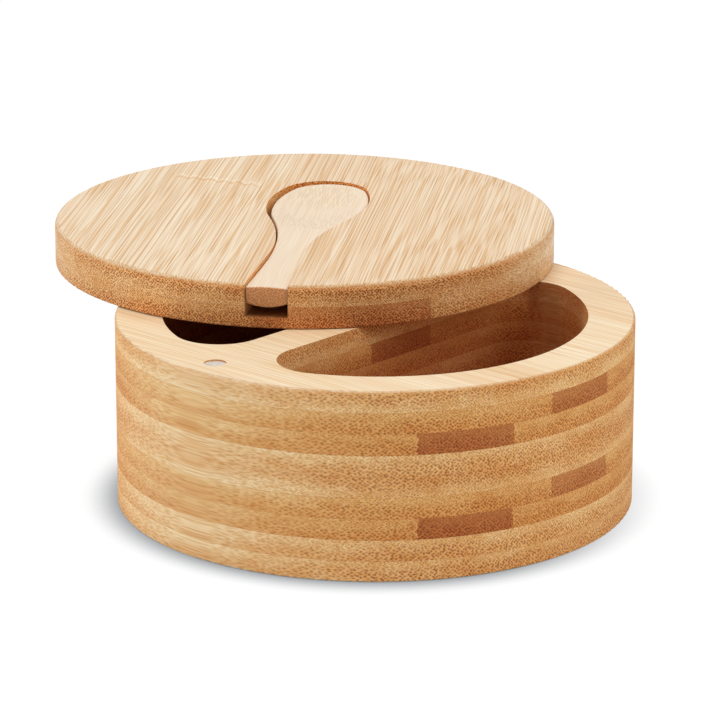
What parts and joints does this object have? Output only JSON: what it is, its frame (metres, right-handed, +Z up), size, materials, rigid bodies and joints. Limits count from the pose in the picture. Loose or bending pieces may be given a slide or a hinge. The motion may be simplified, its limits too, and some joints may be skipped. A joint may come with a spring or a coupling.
{
  "type": "salt box",
  "caption": "Round bamboo salt box with twin compartments, a magnet-held lid that swivels on an upright pin, and a spoon set in the lid.",
  "frame": {"origin": "middle of the flat base of the body", "axes": "+Z up along the body's axis; -Y towards the magnet in the rim; +Y towards the upright pivot pin; the two compartments lie on the +X and -X sides of the divider"},
  "size_m": [0.1633, 0.1426, 0.0545],
  "materials": {
    "light_bamboo": "pale carbonised bamboo, sanded and oiled satin",
    "mid_bamboo": "golden bamboo, sanded and oiled satin",
    "dark_bamboo": "brown carbonised bamboo, sanded and oiled satin",
    "spoon_wood": "pale close-grained wood, sanded smooth",
    "magnet_nickel": "dull nickel plate",
    "pin_steel": "turned steel",
    "bush_brass": "turned brass"
  },
  "bodies": {
    "body": {"body_ply_1": "mid_bamboo", "body_ply_2": "light_bamboo", "body_ply_3": "dark_bamboo", "body_ply_4": "dark_bamboo", "body_ply_5": "light_bamboo", "body_ply_6": "light_bamboo", "body_ply_7": "dark_bamboo", "body_ply_8": "dark_bamboo", "body_ply_9": "light_bamboo", "body_magnet": "magnet_nickel", "pivot_pin": "pin_steel"},
    "lid": {"lid_lower_ply": "mid_bamboo", "lid_upper_ply": "light_bamboo", "lid_magnet": "magnet_nickel", "pivot_bush": "bush_brass"},
    "spoon": {"spoon": "spoon_wood"}
  },
  "joints": [
    {"name": "lid_swivel", "type": "hinge", "parent": "body", "child": "lid", "pos_m": [0, 0.0528, 0.0441], "axis": [0, 0, 1], "continuous": true},
    {"name": "spoon_lift", "type": "slide", "parent": "lid", "child": "spoon", "axis": [0, 0, 1], "range_m": [0, 0.03]}
  ]
}
